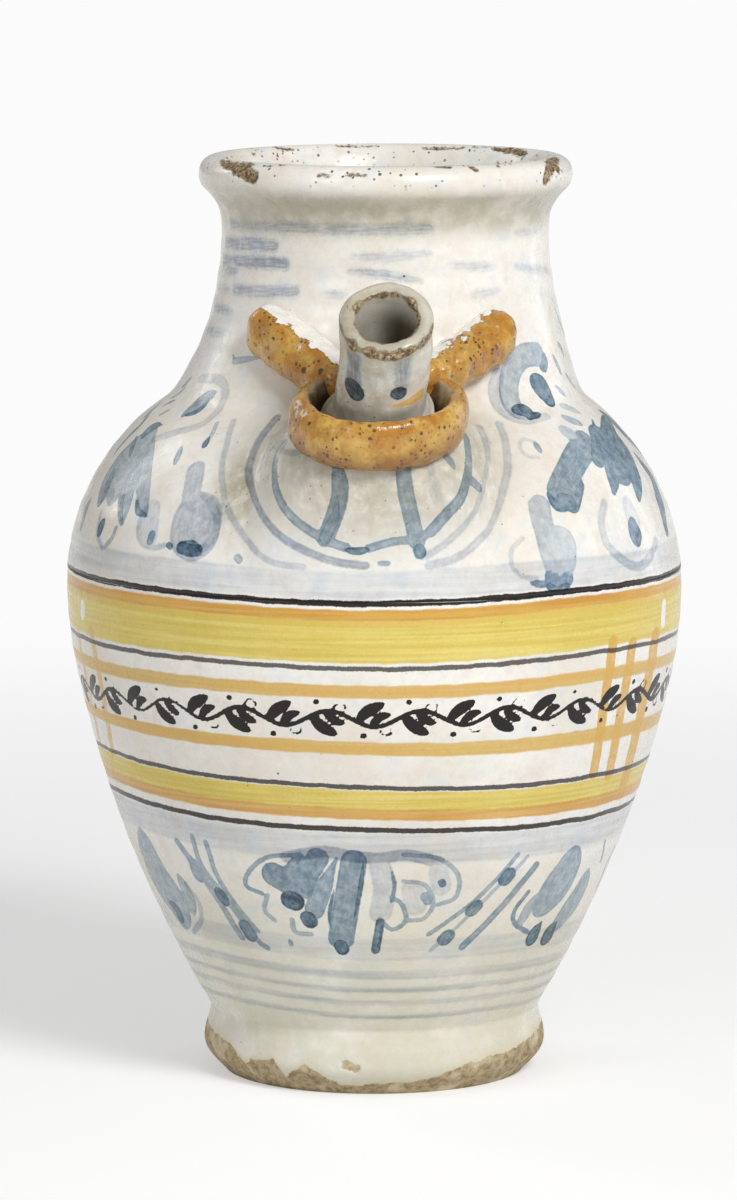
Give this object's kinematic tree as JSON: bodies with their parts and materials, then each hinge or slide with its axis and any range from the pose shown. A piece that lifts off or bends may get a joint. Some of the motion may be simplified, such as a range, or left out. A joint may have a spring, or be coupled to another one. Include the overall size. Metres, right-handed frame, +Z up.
{
  "type": "wet drug jar",
  "caption": "Spouted wet drug jar of tin-glazed earthenware: round-bellied, with a flared rolled rim, a flat foot, a short spout in a clay collar with two braces, and a strap handle.",
  "frame": {"origin": "centre of the flat base, on the jar's axis", "axes": "+Z up along the jar's axis; the spout points to -Y and the handle to +Y"},
  "size_m": [0.1812, 0.2109, 0.27],
  "materials": {
    "biscuit_clay": "matt, unglazed fired earthenware",
    "tin_glaze": "glossy opaque white tin glaze with blue, yellow, ochre and manganese painting",
    "inner_glaze": "glossy opaque cream glaze",
    "ochre_glaze": "glossy ochre painted glaze"
  },
  "bodies": {
    "root": {"base_floor": "biscuit_clay", "foot_ring": "biscuit_clay", "lower_wall": "biscuit_clay", "upper_wall": "biscuit_clay", "neck_wall": "biscuit_clay", "rim_roll": "biscuit_clay", "spout_boss": "tin_glaze", "spout_tube": "tin_glaze", "spout_ring": "ochre_glaze", "left_brace": "ochre_glaze", "right_brace": "ochre_glaze", "strap_handle": "tin_glaze", "outer_glaze": "tin_glaze", "inner_glaze": "inner_glaze"}
  },
  "joints": []
}
